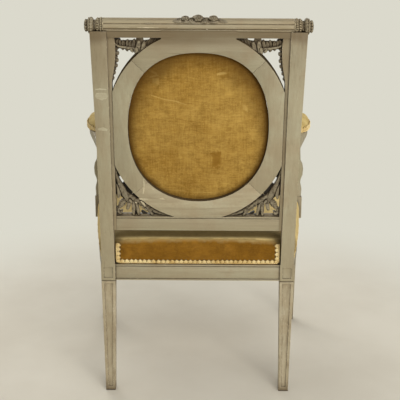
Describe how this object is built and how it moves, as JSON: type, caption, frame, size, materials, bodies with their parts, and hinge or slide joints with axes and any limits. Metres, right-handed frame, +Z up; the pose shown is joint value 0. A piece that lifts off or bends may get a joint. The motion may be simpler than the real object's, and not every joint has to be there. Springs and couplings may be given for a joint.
{
  "type": "fauteuil",
  "caption": "Open-armed chair with a square reeded back frame, an upholstered oval medallion, padded arms and a fixed crowned seat.",
  "frame": {"origin": "on the floor, in the middle of the chair's footprint", "axes": "+Z up, the chair faces -Y and its back is at +Y, +X is the sitter's left"},
  "size_m": [0.5876, 0.6162, 0.9598],
  "materials": {
    "painted_wood": "aged grey-beige paint, glazed and rubbed through at the edges",
    "raw_wood": "bare beech",
    "velvet": "old gold cotton velvet with a mottled pile",
    "gimp": "cream and gold scalloped braid",
    "webbing": "woven jute strap",
    "canvas": "plain unbleached canvas"
  },
  "bodies": {
    "root": {"rear_seat_rail": "painted_wood", "front_seat_rail": "painted_wood", "rear_post_left": "painted_wood", "rear_post_right": "painted_wood", "front_leg_left": "painted_wood", "front_leg_right": "painted_wood", "side_seat_rail_left": "painted_wood", "side_seat_rail_right": "painted_wood", "rear_corner_block_left": "raw_wood", "rear_corner_block_right": "raw_wood", "front_corner_block_left": "raw_wood", "front_corner_block_right": "raw_wood", "front_rosette_left": "painted_wood", "front_rosette_right": "painted_wood", "side_rosette_left": "painted_wood", "side_rosette_right": "painted_wood", "top_rail": "painted_wood", "lower_back_rail": "painted_wood", "crest_carving": "painted_wood", "medallion_left": "painted_wood", "medallion_top": "painted_wood", "medallion_right": "painted_wood", "medallion_bottom": "painted_wood", "medallion_tongue_1": "raw_wood", "medallion_tongue_2": "raw_wood", "medallion_tongue_3": "raw_wood", "medallion_tongue_4": "raw_wood", "finial_left": "painted_wood", "finial_right": "painted_wood", "upper_corner_carving_left": "painted_wood", "upper_corner_carving_right": "painted_wood", "lower_corner_carving_left": "painted_wood", "lower_corner_carving_right": "painted_wood", "outside_back_cloth": "velvet", "back_webbing": "webbing", "back_pad": "velvet", "back_gimp": "gimp", "arm_left": "painted_wood", "arm_right": "painted_wood", "arm_support_left": "painted_wood", "arm_support_right": "painted_wood", "arm_pad_left": "velvet", "arm_pad_right": "velvet", "arm_pad_gimp_left": "gimp", "arm_pad_gimp_right": "gimp", "seat_webbing": "webbing", "seat_canvas": "canvas", "seat_cushion": "velvet", "seat_gimp_rear": "gimp", "seat_gimp_front": "gimp", "seat_gimp_left": "gimp", "seat_gimp_right": "gimp"}
  },
  "joints": []
}
